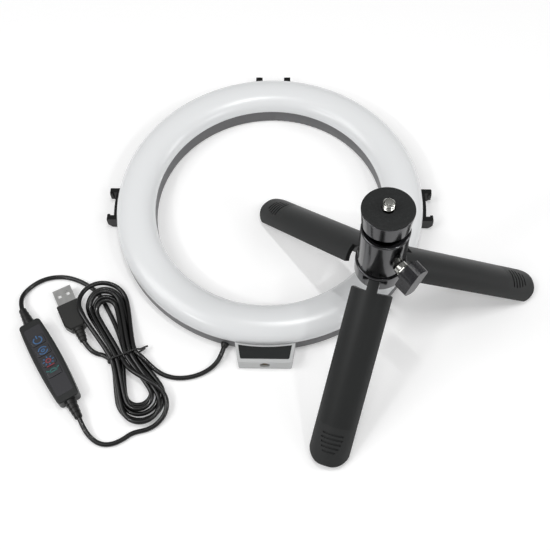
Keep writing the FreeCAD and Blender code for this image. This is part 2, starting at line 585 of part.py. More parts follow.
def foot():
    """Rubber tip: solid under its round top, with thumb grooves across it and a flat where it stands."""
    tip = leg_slab(-LEG_LENGTH, -LEG_LENGTH + FOOT_LENGTH, None)
    tip = tip.common(box((-1.2, -20, -LEG_LENGTH - 1), (20, 20, -LEG_LENGTH + FOOT_LENGTH)))
    skin = Part.makeCylinder(LEG_R + 1, LEG_LENGTH, V(-PIVOT_R, 0, -LEG_LENGTH))
    skin = skin.cut(Part.makeCylinder(LEG_R - GROOVE_DEPTH, LEG_LENGTH, V(-PIVOT_R, 0, -LEG_LENGTH)))
    first = -LEG_LENGTH + FOOT_LENGTH - 4.6
    grooves = []
    for index, length in enumerate(GROOVE_LENGTHS):
        slot = prism(rounded_rectangle(length / 2, GROOVE_WIDTH / 2, 0.5), 0, 20)
        slot.rotate(ORIGIN, V(1, 1, 1), 120)
        grooves.append(skin.common(slot.translated(Z_AXIS * (first - GROOVE_PITCH * index))))
    return tip.cut(grooves)


def spread(shape):
    copy = shape.copy()
    copy.rotate(ORIGIN, Y_AXIS, -LEG_SPREAD)
    return copy


HINGE_Z = -spread(foot()).BoundBox.ZMin - FOOT_FLAT


def on_tripod(shape, heading=0.0, height=0.0):
    copy = around(shape, heading)
    copy.translate(V(TRIPOD_X, TRIPOD_Y, HINGE_Z + height))
    return copy


def standing(shape, name):
    """A leg part spread open at its hinge, turned to its leg's heading and trimmed at the floor."""
    placed = on_tripod(spread(shape).translated(X_AXIS * PIVOT_R), LEG_ANGLES[name])
    return placed.cut(box((-400, -400, -20), (400, 400, 0)))


# ---------------------------------------------------------------- tripod hub and head
def hub():
    body = turned([(0, HUB_LOW), (HUB_LOW_R, HUB_LOW, 1.0), (HUB_R, HUB_TAPER, 1.5), (HUB_R, HUB_TOP, 0.8),
                   (0, HUB_TOP)])
    slot = box((SLOT_BACK, -SLOT_HALF, HUB_LOW - 1), (HUB_R + 1, SLOT_HALF, SLOT_TOP))
    slots = [around(slot, angle) for angle in LEG_ANGLES.values()]
    pins = [around(hinge_pin(), angle) for angle in LEG_ANGLES.values()]
    stud = Part.makeCylinder(3.0, HUB_TOP - STUD_LOW + 1, V(0, 0, STUD_LOW))
    return body.cut(slots + pins + [stud])


def hinge_pin():
    return rod(PIN_R, V(PIVOT_R, -PIN_HALF, 0), V(PIVOT_R, PIN_HALF, 0))


def hinge_pins():
    return Part.makeCompound([around(hinge_pin(), angle) for angle in LEG_ANGLES.values()])


def head_stud():
    return Part.makeCylinder(3.0, STUD_TOP - STUD_LOW, V(0, 0, STUD_LOW))


def lock_rod(radius, near, far):
    return around(rod(radius, V(near, 0, LOCK_HEIGHT), V(far, 0, LOCK_HEIGHT)), LOCK_ANGLE)


def head_barrel():
    shell = turned([(0, BARREL_LOW), (BARREL_R, BARREL_LOW, 0.8), (BARREL_R, BARREL_TOP, 0.9),
                    (SOCKET_LIP_R + 0.8, BARREL_TOP), (SOCKET_LIP_R, BARREL_TOP - 0.8), (SOCKET_LIP_R, LIP_LOW),
                    (BARREL_BORE, LIP_LOW - 1.2), (BARREL_BORE, BORE_FLOOR), (0, BORE_FLOOR)])
    stud_hole = Part.makeCylinder(3.0, STUD_TOP - HUB_TOP, V(0, 0, HUB_TOP))
    return shell.cut([stud_hole, lock_rod(LOCK_SHAFT_R + RUNNING, 5, 20)])


def lock_wedge():
    disc = turned([(0, BORE_FLOOR), (9.3, BORE_FLOOR, 0.4), (9.3, WEDGE_TOP - 0.3), (7.5, WEDGE_TOP), (0, WEDGE_TOP)])
    return disc.cut(lock_rod(LOCK_SHAFT_R + 0.35, 2.5, 20))


def ball_seat():
    """Nylon cup under the ball; it turns with the ball."""
    cup = turned([(3.0, SEAT_LOW), (9.2, SEAT_LOW), (9.55, SEAT_LOW + 0.4), (9.55, SEAT_TOP), (3.0, SEAT_TOP)])
    return cup.cut(Part.makeSphere(BALL_R + 0.3, V(0, 0, BALL_HEIGHT)))


def lock_screw():
    shaft = lock_rod(LOCK_SHAFT_R, 4.6, KNOB_FAR - 4)
    collar = lock_rod(3.9, 14.0, 16.6)
    nut = prism([(3.6 * math.cos(math.radians(60 * side)), 3.6 * math.sin(math.radians(60 * side)))
                 for side in range(6)], 16.6, KNOB_NEAR)
    nut.rotate(ORIGIN, Y_AXIS, 90)
    return fused([shaft, collar, around(nut.translated(Z_AXIS * LOCK_HEIGHT), LOCK_ANGLE)])


def lock_knob():
    """Two-winged thumb knob on the lock screw."""
    body = rod(KNOB_HUB_R, V(KNOB_NEAR, 0, 0), V(KNOB_FAR, 0, 0))
    wing = side_prism([(-WING_THICK / 2, -WING_HALF, 3.0), (WING_THICK / 2, -WING_HALF, 3.0),
                       (WING_THICK / 2, WING_HALF, 3.0), (-WING_THICK / 2, WING_HALF, 3.0)],
                      KNOB_NEAR + 1.5, KNOB_FAR)
    knob = fused([body, wing])
    knob.rotate(ORIGIN, X_AXIS, -WING_LEAN)
    knob = around(knob.translated(Z_AXIS * LOCK_HEIGHT), LOCK_ANGLE)
    return knob.cut(lock_rod(LOCK_SHAFT_R, 0, KNOB_FAR - 4))


# ---------------------------------------------------------------- camera platform, ball centre at the origin
def ball_stem():
    stem = Part.makeCylinder(STEM_R, PLATFORM_LOW, ORIGIN)
    spigot = Part.makeCylinder(2.6, PLATFORM_LOW + 5)
    return fused([Part.makeSphere(BALL_R), stem, spigot])


def platform():
    rim = PLATFORM_TOP + PAD_THICK - 0.4
    body = turned([(0, PLATFORM_LOW), (10.5, PLATFORM_LOW, 0.5), (13.3, PLATFORM_LOW + 1.5, 0.8),
                   (PLATFORM_R, rim, 0.4), (PAD_R + 0.1, rim), (PAD_R + 0.1, PLATFORM_TOP), (0, PLATFORM_TOP)])
    screw_hole = Part.makeCylinder(CAMERA_SCREW_NECK_R, 20, V(0, 0, PLATFORM_TOP - 4.5))
    return body.cut([screw_hole, Part.makeCylinder(2.6, 5, V(0, 0, PLATFORM_LOW))])


def platform_pad():
    pad = Part.makeCylinder(PAD_R, PAD_THICK, V(0, 0, PLATFORM_TOP))
    return pad.cut(Part.makeCylinder(CAMERA_SCREW_R + 0.4, 10, V(0, 0, PLATFORM_TOP - 1)))


def camera_screw():
    """Quarter-inch screw, necked where it passes through the platform and its pad."""
    neck_low, neck_high = PLATFORM_TOP - 4.5, PLATFORM_TOP + PAD_THICK
    top = neck_high + CAMERA_SCREW_PROUD
    return turned([(0, neck_low), (CAMERA_SCREW_NECK_R, neck_low), (CAMERA_SCREW_NECK_R, neck_high),
                   (CAMERA_SCREW_R, neck_high), (CAMERA_SCREW_R, top - 0.6), (CAMERA_SCREW_R - 0.6, top), (0, top)])


def on_ball(shape):
    copy = shape.copy()
    copy.rotate(ORIGIN, X_AXIS, PLATFORM_TILT)
    return on_tripod(copy, 0.0, BALL_HEIGHT)


# ---------------------------------------------------------------- all nodes
def ring_nodes():
    makers = (rear_housing, led_carrier, housing_screws, led_board, led_chips, diffuser, socket_block,
              socket_window, socket_insert, block_screws, cable_gland)
    nodes = {maker.__name__: on_ring(maker()) for maker in makers}
    for name, angle in CLIP_ANGLES.items():
        nodes[f"accessory_clip_{name}"] = on_ring(accessory_clip(), heading=angle)
    return nodes


def lead_nodes():
    routes = {"cable_lead": LEAD_ROUTE, "cable_lower_tail": LOWER_TAIL_ROUTE,
              "cable_upper_tail": UPPER_TAIL_ROUTE, "cable_plug_lead": PLUG_LEAD_ROUTE}
    nodes = {name: on_ring(cord_tube(name, route)) for name, route in routes.items()}
    nodes["cable_hank"] = on_ring(cable_hank())
    nodes["hank_tie"] = on_ring(hank_tie())
    return nodes


def controller_nodes():
    shapes = {"controller_base": controller_base(), "controller_cover": controller_cover(),
              "controller_label": controller_label(), "controller_board": controller_board(),
              "controller_switches": controller_switches(), "relief_upper": controller_relief(1),
              "relief_lower": controller_relief(-1)}
    for name, place in zip(BUTTON_NAMES, button_places()):
        shapes[f"button_{name}"] = button(place)
    return {name: on_ring(shape.translated(ORIGIN), CONTROLLER_AT, CONTROLLER_HEADING)
            for name, shape in shapes.items()}


def plug_nodes():
    makers = (plug_overmould, plug_shell, plug_tongue, plug_contacts, plug_relief)
    return {maker.__name__: on_ring(maker(), PLUG_AT, PLUG_HEADING) for maker in makers}


def tripod_nodes():
    makers = (hub, hinge_pins, head_stud, head_barrel, lock_wedge, ball_seat, lock_screw, lock_knob)
    nodes = {maker.__name__: on_tripod(maker()) for maker in makers}
    for maker in (ball_stem, platform, platform_pad, camera_screw):
        nodes[maker.__name__] = on_ball(maker())
    for name in LEG_ANGLES:
        nodes[f"leg_{name}"] = standing(leg(), name)
        nodes[f"foot_{name}"] = standing(foot(), name)
    return nodes


def main():
    os.makedirs(PARTS_FOLDER, exist_ok=True)
    nodes = {**ring_nodes(), **lead_nodes(), **controller_nodes(), **plug_nodes(), **tripod_nodes()}
    for name, shape in nodes.items():
        shape.exportStep(f"{PARTS_FOLDER}/{name}.step")
    print(f"{len(nodes)} nodes, hinge height {HINGE_Z:.3f}, tripod axis {TRIPOD_X:.2f}, {TRIPOD_Y:.2f}")


main()
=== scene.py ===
"""Looks of the ring light: finishes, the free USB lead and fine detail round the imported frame. Metres."""

import json
import logging
import math
from dataclasses import dataclass, field
from enum import Enum
from typing import Iterable, Sequence, Union

import bmesh
import bpy
from mathutils import Matrix, Vector, noise

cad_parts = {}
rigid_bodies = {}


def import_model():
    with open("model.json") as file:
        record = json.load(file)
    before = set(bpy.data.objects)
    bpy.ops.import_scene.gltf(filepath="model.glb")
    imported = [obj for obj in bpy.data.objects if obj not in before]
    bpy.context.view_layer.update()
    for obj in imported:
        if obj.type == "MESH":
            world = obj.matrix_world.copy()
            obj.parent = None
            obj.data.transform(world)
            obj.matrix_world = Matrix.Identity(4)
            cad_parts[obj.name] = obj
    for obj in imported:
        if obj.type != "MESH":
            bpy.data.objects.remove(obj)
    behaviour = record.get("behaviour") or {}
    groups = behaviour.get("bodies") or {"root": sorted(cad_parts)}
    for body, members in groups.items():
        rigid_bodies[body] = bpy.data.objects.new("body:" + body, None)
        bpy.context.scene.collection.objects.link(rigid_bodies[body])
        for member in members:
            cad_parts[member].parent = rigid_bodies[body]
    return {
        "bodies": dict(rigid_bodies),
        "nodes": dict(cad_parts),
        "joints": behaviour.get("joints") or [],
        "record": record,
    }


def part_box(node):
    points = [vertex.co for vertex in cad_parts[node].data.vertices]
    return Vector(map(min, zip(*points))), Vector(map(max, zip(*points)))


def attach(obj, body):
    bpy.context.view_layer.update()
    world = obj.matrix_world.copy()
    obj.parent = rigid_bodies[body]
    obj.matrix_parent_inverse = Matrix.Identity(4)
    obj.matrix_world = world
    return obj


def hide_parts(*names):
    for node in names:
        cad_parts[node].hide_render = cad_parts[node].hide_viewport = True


log = logging.getLogger("ring_light")

MM = 0.001
Colour = tuple[float, float, float]
Number = Union[float, int]


# ---------------------------------------------------------------- shader building
class Signal:
    """A number that runs through a material's nodes. Arithmetic on it adds Math nodes."""

    def __init__(self, recipe: "Recipe", socket: bpy.types.NodeSocket) -> None:
        """Wraps a socket.

        Args:
            recipe: the material that the socket belongs to.
            socket: the output that carries the number.
        """
        self.recipe = recipe
        self.socket = socket

    def _math(self, operation: str, *terms: Union["Signal", Number], clamp: bool = False) -> "Signal":
        """Joins terms with one Math node.

        Args:
            operation: the Math node's operation.
            terms: the values or signals, in the node's own order.
            clamp: whether the result is kept between 0 and 1.

        Returns:
            The node's result.
        """
        settings = {"operation": operation, "use_clamp": clamp}
        node = self.recipe.node("ShaderNodeMath", settings, dict(enumerate(terms)))
        return Signal(self.recipe, node.outputs[0])

    def __add__(self, other: Union["Signal", Number]) -> "Signal":
        """Sum."""
        return self._math("ADD", self, other)

    def __radd__(self, other: Number) -> "Signal":
        """Sum with a plain number on the left."""
        return self._math("ADD", other, self)

    def __sub__(self, other: Union["Signal", Number]) -> "Signal":
        """Difference."""
        return self._math("SUBTRACT", self, other)

    def __rsub__(self, other: Number) -> "Signal":
        """Difference from a plain number."""
        return self._math("SUBTRACT", other, self)

    def __mul__(self, other: Union["Signal", Number]) -> "Signal":
        """Product."""
        return self._math("MULTIPLY", self, other)

    def __rmul__(self, other: Number) -> "Signal":
        """Product with a plain number on the left."""
        return self._math("MULTIPLY", other, self)

    def __truediv__(self, other: Union["Signal", Number]) -> "Signal":
        """Quotient."""
        return self._math("DIVIDE", self, other)

    def __pow__(self, other: Number) -> "Signal":
        """Power."""
        return self._math("POWER", self, other)

    def above(self, edge: float, softness: float) -> "Signal":
        """Mask that rises from 0 to 1 as the signal passes an edge.

        Args:
            edge: where the mask starts to rise.
            softness: how far it takes to reach 1.

        Returns:
            The mask.
        """
        return self._math("MULTIPLY", self - edge, 1.0 / softness, clamp=True)


class Recipe:
    """One material under construction: its nodes, its coordinates and its Principled shader."""

    def __init__(self, name: str) -> None:
        """Makes an empty material with a Principled shader.

        Args:
            name: the material's name.
        """
        self.material = bpy.data.materials.new(name)
        self.material.use_nodes = True
        self.tree = self.material.node_tree
        self.tree.nodes.clear()
        output = self.node("ShaderNodeOutputMaterial", {}, {})
        self.shader = self.node("ShaderNodeBsdfPrincipled", {}, {})
        self.tree.links.new(self.shader.outputs[0], output.inputs[0])
        coordinates = self.node("ShaderNodeTexCoord", {}, {})
        self.place = coordinates.outputs["Object"]

    def node(self, kind: str, settings: dict, inputs: dict) -> bpy.types.Node:
        """Adds a node.

        Args:
            kind: the node's type name.
            settings: its properties, set before its sockets.
            inputs: for each socket's name or number, a value, a socket or a signal.

        Returns:
            The new node.
        """
        made = self.tree.nodes.new(kind)
        for key, value in settings.items():
            setattr(made, key, value)
        for key, value in inputs.items():
            if isinstance(value, Signal):
                value = value.socket
            if isinstance(value, bpy.types.NodeSocket):
                self.tree.links.new(value, made.inputs[key])
            else:
                made.inputs[key].default_value = value
        return made

    def noise(self, scale: float, detail: float = 2.0, stretch: Sequence[float] = (1, 1, 1)) -> Signal:
        """Cloudy pattern between 0 and 1.

        Args:
            scale: features per metre.
            detail: octaves of finer pattern.
            stretch: how much finer the pattern is along each axis.

        Returns:
            The pattern.
        """
        mapped = self.node("ShaderNodeMapping", {}, {"Vector": self.place, "Scale": tuple(stretch)})
        sockets = {"Vector": mapped.outputs[0], "Scale": scale, "Detail": detail}
        made = self.node("ShaderNodeTexNoise", {}, sockets)
        return Signal(self, made.outputs[0])

    def cells(self, scale: float) -> Signal:
        """Distance to the middle of the nearest of many small cells.

        Args:
            scale: cells per metre.

        Returns:
            The distance, near 0 at the middle of a cell.
        """
        made = self.node("ShaderNodeTexVoronoi", {}, {"Vector": self.place, "Scale": scale})
        return Signal(self, made.outputs[0])

    def axis(self, index: int) -> Signal:
        """One of the three coordinates, in metres.

        Args:
            index: 0, 1 or 2 for X, Y or Z.

        Returns:
            The coordinate.
        """
        made = self.node("ShaderNodeSeparateXYZ", {}, {0: self.place})
        return Signal(self, made.outputs[index])

    def tint(self, amount: Signal, low: Colour, high: Colour) -> bpy.types.NodeSocket:
        """Colour between two colours.

        Args:
            amount: 0 for the first colour, 1 for the second.
            low: the first colour.
            high: the second colour.

        Returns:
            The mixed colour's socket.
        """
        inputs = {0: amount, 6: (*low, 1.0), 7: (*high, 1.0)}
        return self.node("ShaderNodeMix", {"data_type": "RGBA"}, inputs).outputs[2]

    def surface(self, **inputs: Union[Signal, Number, bpy.types.NodeSocket, tuple]) -> None:
        """Sets sockets of the Principled shader.

        Args:
            inputs: socket names with underscores for spaces.
        """
        for key, value in inputs.items():
            if isinstance(value, Signal):
                value = value.socket
            socket = self.shader.inputs[key.replace("_", " ")]
            if isinstance(value, bpy.types.NodeSocket):
                self.tree.links.new(value, socket)
            else:
                socket.default_value = value

    def bump(self, height: Signal, distance: float, strength: float = 1.0) -> None:
        """Feeds a height to the shader's normal.

        Args:
            height: the relief, from 0 to 1.
            distance: how deep 1 is, in metres.
            strength: how strongly it shows.
        """
        inputs = {"Height": height, "Distance": distance, "Strength": strength}
        self.surface(Normal=self.node("ShaderNodeBump", {}, inputs).outputs[0])


def scaled(colour: Colour, factor: float) -> Colour:
    """A colour made lighter or darker.

    Args:
        colour: the colour.
        factor: what each channel is multiplied by.

    Returns:
        The new colour, no brighter than white.
    """
    return tuple(min(1.0, channel * factor) for channel in colour)


# ---------------------------------------------------------------- finishes
@dataclass(frozen=True)
class Finish:
    """What a surface is made of and how it was finished."""

    name: str

    def material(self) -> bpy.types.Material:
        """The Blender material, made once."""
        found = bpy.data.materials.get(self.name)
        if found:
            return found
        recipe = Recipe(self.name)
        self.paint(recipe)
        return recipe.material

    def paint(self, recipe: Recipe) -> None:
        """Builds the material's nodes.

        Args:
            recipe: the empty material.
        """
        raise NotImplementedError


@dataclass(frozen=True)
class Moulding(Finish):
    """Moulded plastic or rubber with a fine spark texture and slight mottling."""

    colour: Colour
    roughness: float
    grain: float = 2600.0
    depth: float = 0.04 * MM
    mottle: float = 0.12
    coat: float = 0.0
    specular: float = 0.5

    def paint(self, recipe: Recipe) -> None:
        """See Finish."""
        cloud, fine = recipe.noise(70.0, 4.0), recipe.noise(self.grain, 3.0)
        colours = scaled(self.colour, 1 - self.mottle), scaled(self.colour, 1 + self.mottle)
        recipe.surface(
            Base_Color=recipe.tint(cloud, *colours), Roughness=self.roughness + (fine - 0.5) * 0.16,
            Coat_Weight=self.coat, Coat_Roughness=0.12, Specular_IOR_Level=self.specular)
        recipe.bump(fine, self.depth, 0.6)


@dataclass(frozen=True)
class Opal(Finish):
    """Milky diffuser moulding: glossy skin over a white body, with painted shade that makes it a touch darker
    low down at its skirt.
    """

    colour: Colour
    skirt_painted_shade: Colour
    skirt: float
    crest: float

    def paint(self, recipe: Recipe) -> None:
        """See Finish."""
        # Painted shade: the colour darkens from the crest down to the skirt.
        rise = recipe.axis(2).above(self.skirt, self.crest - self.skirt)
        ripple = recipe.noise(38.0, 2.0)
        recipe.surface(
            Base_Color=recipe.tint(rise, self.skirt_painted_shade, self.colour), Roughness=0.24 + ripple * 0.1,
            Coat_Weight=0.8, Coat_Roughness=0.05)
        recipe.bump(ripple, 0.12 * MM, 0.5)


@dataclass(frozen=True)
class Plating(Finish):
    """Turned or brushed metal: streaks along one way, darker in its fine scratches."""

    colour: Colour
    roughness: float
    streak: Sequence[float] = (1.0, 1.0, 14.0)
    wear: float = 0.15
    depth: float = 0.012 * MM

    def paint(self, recipe: Recipe) -> None:
        """See Finish."""
        lines, cloud = recipe.noise(420.0, 3.0, self.streak), recipe.noise(90.0, 3.0)
        amount = lines * 0.6 + cloud * 0.4
        colours = scaled(self.colour, 1 - self.wear), scaled(self.colour, 1 + self.wear)
        recipe.surface(
            Base_Color=recipe.tint(amount, *colours), Metallic=1.0,
            Roughness=self.roughness + (lines - 0.5) * 0.12)
        recipe.bump(lines, self.depth, 0.5)


@dataclass(frozen=True)
class Sheath(Finish):
    """Glossy cable sheath with faint drawn ripples and a little dust."""

    colour: Colour

    def paint(self, recipe: Recipe) -> None:
        """See Finish."""
        ripple, dust = recipe.noise(700.0, 2.0), recipe.noise(1900.0, 4.0).above(0.62, 0.2)
        recipe.surface(
            Base_Color=recipe.tint(dust, self.colour, scaled(self.colour, 2.4)),
            Roughness=0.26 + ripple * 0.14, Coat_Weight=0.3, Coat_Roughness=0.1, Specular_IOR_Level=0.4)
        recipe.bump(ripple, 0.05 * MM, 0.6)


@dataclass(frozen=True)
class Cork(Finish):
    """Black grained rubber of the camera pad, with pale crumbs in its pores."""

    colour: Colour

    def paint(self, recipe: Recipe) -> None:
        """See Finish."""
        pores, crumbs = recipe.cells(900.0), recipe.noise(620.0, 5.0)
        pale = crumbs.above(0.56, 0.12) * 0.7
        recipe.surface(
            Base_Color=recipe.tint(pale, self.colour, scaled(self.colour, 3.2)),
            Roughness=0.55 + crumbs * 0.25)
        recipe.bump(pores * 0.5 + crumbs * 0.5, 0.22 * MM, 0.9)


@dataclass(frozen=True)
class Ink(Finish):
    """Printed symbol: a thin coloured layer, uneven where it wears."""

    colour: Colour

    def paint(self, recipe: Recipe) -> None:
        """See Finish."""
        patchy = recipe.noise(900.0, 4.0)
        recipe.surface(
            Base_Color=recipe.tint(patchy, scaled(self.colour, 0.6), scaled(self.colour, 1.3)),
            Roughness=0.35 + patchy * 0.2)


class Finishes(Enum):
    """Every finish on the set."""

    HOUSING = Moulding("housing_grey_abs", (0.125, 0.125, 0.13), 0.42, depth=0.02 * MM, specular=0.35)
    # The diffuser's second colour is painted shade for its skirt.
    DIFFUSER = Opal("opal_diffuser", (0.47, 0.48, 0.495), (0.42, 0.43, 0.445), 11 * MM, 18 * MM)
    BLOCK = Moulding("block_light_grey", (0.5, 0.51, 0.51), 0.38, depth=0.015 * MM, mottle=0.04)
    WINDOW = Moulding("window_black_gloss", (0.014, 0.016, 0.016), 0.2, 600.0, 0.01 * MM, specular=0.3)
    CLIP = Moulding("clip_satin_black", (0.006, 0.006, 0.006), 0.34, depth=0.02 * MM, specular=0.3)
    WHITE_PLASTIC = Moulding("white_moulding", (0.8, 0.8, 0.79), 0.4, mottle=0.03)
    NYLON = Moulding("nylon_white", (0.75, 0.75, 0.72), 0.35, mottle=0.04)
    SOLDER_MASK = Moulding("board_green", (0.03, 0.16, 0.07), 0.3, 900.0)
    PHOSPHOR = Moulding("phosphor_cap", (0.85, 0.72, 0.2), 0.25, 1500.0)
    STEEL = Plating("bright_zinc_steel", (0.5, 0.5, 0.47), 0.24)
    NICKEL = Plating("nickel_shell", (0.55, 0.55, 0.54), 0.3, (1.0, 1.0, 1.0))
    GOLD = Plating("gold_contact", (0.85, 0.62, 0.28), 0.25)
    # Brass darkened to near black as painted shade, so the socket's hole reads dark; the lock wedge shares it.
    BRASS_IN_PAINTED_SHADE = Plating("brass_insert", (0.06, 0.046, 0.028), 0.45)
    GUNMETAL = Plating("black_chrome", (0.085, 0.085, 0.088), 0.14, (1.0, 1.0, 0.05), 0.1, 0.004 * MM)
    BALL = Plating("ball_black_chrome", (0.06, 0.06, 0.062), 0.14, (1, 1, 1), 0.1, 0.004 * MM)
    PAD = Cork("pad_grained_rubber", (0.005, 0.006, 0.006))
    LEG = Moulding("leg_soft_touch", (0.019, 0.02, 0.02), 0.42, 3200.0, 0.02 * MM, 0.08, specular=0.32)
    FOOT = Moulding("foot_rubber", (0.022, 0.023, 0.023), 0.52, 2200.0, 0.03 * MM, 0.1, specular=0.35)
    KNOB = Moulding("knob_satin", (0.018, 0.018, 0.02), 0.28, depth=0.02 * MM)
    CASE = Moulding("case_satin_black", (0.013, 0.014, 0.014), 0.4, depth=0.02 * MM, specular=0.35)
    FILM = Moulding("label_film", (0.012, 0.015, 0.015), 0.34, 1800.0, 0.008 * MM, specular=0.3)
    CABLE = Sheath("cable_sheath", (0.0022, 0.0022, 0.0023))
    SOFT_BLACK = Moulding("soft_pvc", (0.009, 0.009, 0.009), 0.38, 1800.0, 0.03 * MM, specular=0.4)
    PLUG = Moulding("plug_pvc", (0.022, 0.022, 0.021), 0.42, 2200.0, 0.03 * MM, specular=0.35)
    TIE = Moulding("tie_wire_cover", (0.018, 0.018, 0.018), 0.38)
    INK_BLUE = Ink("ink_blue", (0.03, 0.11, 0.26))
    INK_TEAL = Ink("ink_teal", (0.015, 0.13, 0.12))
    INK_RED = Ink("ink_red", (0.24, 0.022, 0.04))


# ---------------------------------------------------------------- pieces
def put(name: str, mesh: bpy.types.Mesh, finish: Finishes, body: str) -> bpy.types.Object:
    """Links a finished mesh as a piece that rides on a body.

    Args:
        name: the piece's name.
        mesh: its mesh, already in place.
        finish: its finish.
        body: the body that it moves with.

    Returns:
        The piece.
    """
    mesh.materials.clear()
    mesh.materials.append(finish.value.material())
    piece = bpy.data.objects.new(name, mesh)
    bpy.context.scene.collection.objects.link(piece)
    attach(piece, body)
    log.info("%s: %d faces, rides on %s", name, len(mesh.polygons), body)
    return piece


def finished(name: str, shape: bmesh.types.BMesh, crease: float = 35.0) -> bpy.types.Mesh:
    """Turns a bmesh into a smooth mesh whose sharp edges stay sharp.

    Args:
        name: the mesh's name.
        shape: the bmesh, which is freed.
        crease: the angle in degrees past which an edge stays sharp.

    Returns:
        The mesh.
    """
    limit = math.radians(crease)
    for face in shape.faces:
        face.smooth = True
    for edge in shape.edges:
        edge.smooth = len(edge.link_faces) == 2 and edge.calc_face_angle(0.0) < limit
    mesh = bpy.data.meshes.new(name)
    shape.to_mesh(mesh)
    shape.free()
    return mesh


@dataclass
class Packed:
    """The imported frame: nodes, joints and the places that follow from them."""

    content: dict
    centre: Vector = field(init=False)
    body_of: dict[str, str] = field(init=False)
    slot_of: dict[str, str] = field(init=False)

    def __post_init__(self) -> None:
        """Works out the ring's centre and each node's body and material slot."""
        low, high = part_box("rear_housing")
        self.centre = Vector(((low.x + high.x) / 2, (low.y + high.y) / 2, 0.0))
        record = self.content["record"]
        bodies = record["behaviour"]["bodies"]
        self.body_of = {node: body for body, nodes in bodies.items() for node in nodes}
        self.slot_of = {part["node"]: part["material_slot"] for part in record["subparts"]}

    def joint(self, name: str) -> dict:
        """The record's entry for a joint.

        Args:
            name: the joint's name.

        Returns:
            The entry.
        """
        return next(joint for joint in self.content["joints"] if joint["name"] == name)

    def on_ring(self, x: float, y: float, z: float) -> Vector:
        """A place given in millimetres in the ring's own axes.

        Args:
            x: to the right of the ring's centre.
            y: away from the socket block.
            z: above the floor.

        Returns:
            The place in the frame's axes.
        """
        return self.centre + Vector((x, y, z)) * MM

    def reskin(self, node: str, finish: Finishes, bevel: float = 0.0,
               crease: float = 35.0) -> bpy.types.Object:
        """Stands a smooth merged copy of a CAD node in its place.

        Args:
            node: the node's name.
            finish: the copy's finish.
            bevel: width of the softened edges in millimetres, 0 for none.
            crease: the angle in degrees past which an edge stays sharp.

        Returns:
            The copy.
        """
        shape = bmesh.new()
        shape.from_mesh(self.content["nodes"][node].data)
        bmesh.ops.remove_doubles(shape, verts=shape.verts, dist=0.0005 * MM)
        bmesh.ops.dissolve_degenerate(shape, edges=shape.edges, dist=0.0005 * MM)
        mesh = finished(f"{node}_skin", shape, crease)
        normals = mesh.attributes.get("custom_normal")
        if normals:
            mesh.attributes.remove(normals)
        piece = put(f"{node}_skin", mesh, finish, self.body_of[node])
        if bevel:
            softened = piece.modifiers.new("soft_edges", "BEVEL")
            softened.width = bevel * MM
            softened.segments = 2
            softened.limit_method = "ANGLE"
            softened.angle_limit = math.radians(crease)
            softened.harden_normals = False
        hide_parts(node)
        return piece

    def dress(self, node: str, finish: Finishes) -> None:
        """Gives a CAD node its finish.

        Args:
            node: the node's name.
            finish: its finish.
        """
        data = self.content["nodes"][node].data
        data.materials.clear()
        data.materials.append(finish.value.material())


# ---------------------------------------------------------------- USB lead
@dataclass(frozen=True)
class Lobe:
    """One end of a turn of the hank: its two sides, how far out it folds, and its heights, in millimetres."""

    out_side: float
    back_side: float
    reach: float
    out_z: float
    fold_z: float
    back_z: float


